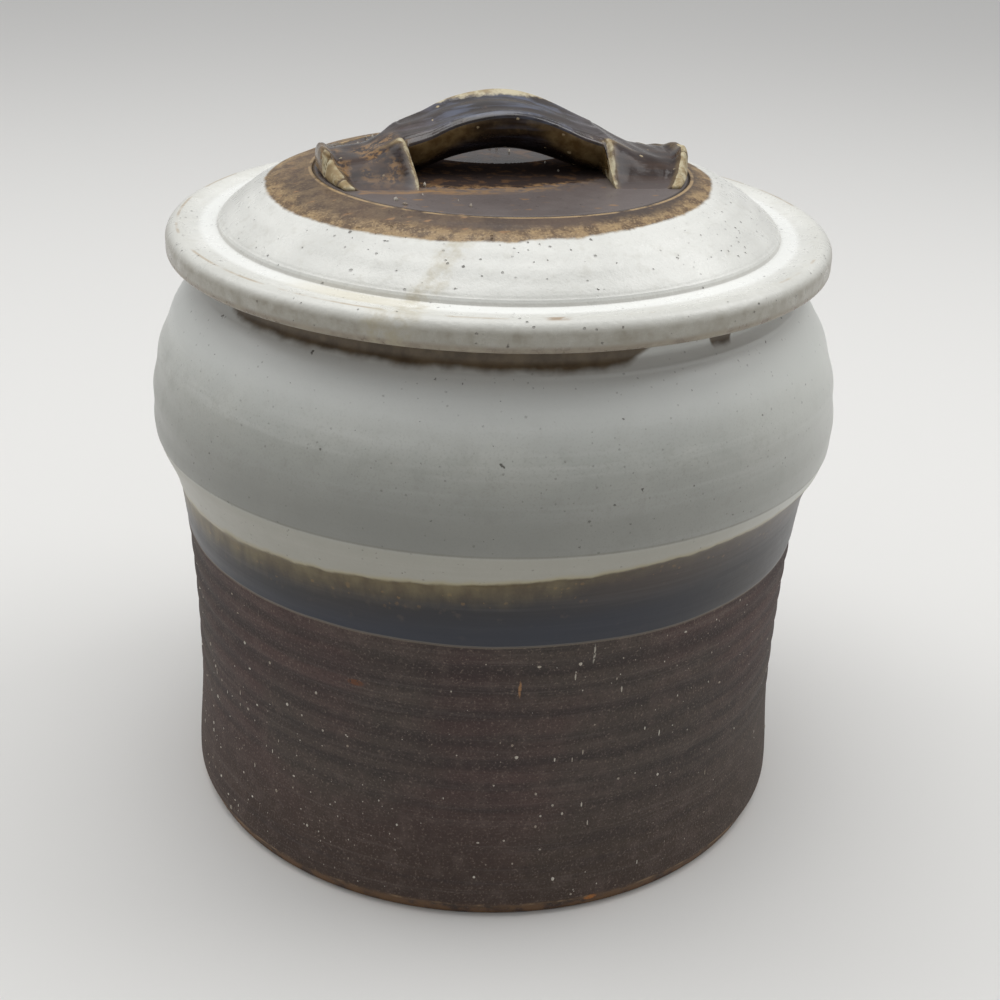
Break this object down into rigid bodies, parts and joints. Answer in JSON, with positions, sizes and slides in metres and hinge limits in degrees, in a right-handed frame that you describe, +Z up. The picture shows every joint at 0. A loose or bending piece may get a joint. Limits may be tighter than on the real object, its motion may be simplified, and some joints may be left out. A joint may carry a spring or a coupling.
{
  "type": "stoneware canister",
  "caption": "wheel-thrown stoneware storage jar with a bulging shoulder, a loose flanged lid and an arched strap handle across the lid",
  "frame": {"origin": "on the table, under the middle of the standing ring", "axes": "+Z up along the turning axis of the jar, X along the strap handle, Y across it"},
  "size_m": [0.22, 0.22, 0.2294],
  "materials": {
    "jar_stoneware": "bare gritty stoneware below, satin blue-black band and grey-white glaze above",
    "lid_glaze": "satin white glaze with iron specks, brown iron glaze on the middle",
    "bare_stoneware": "unglazed fired stoneware",
    "iron_glaze": "glossy dark iron glaze that breaks pale on the edges"
  },
  "bodies": {
    "jar": {"jar_body": "jar_stoneware"},
    "lid": {"lid_plate": "lid_glaze", "locating_ring": "bare_stoneware", "strap_handle": "iron_glaze"}
  },
  "joints": [
    {"name": "lid_lift", "type": "slide", "parent": "jar", "child": "lid", "axis": [0, 0, 1], "range_m": [0, 0.08]}
  ]
}
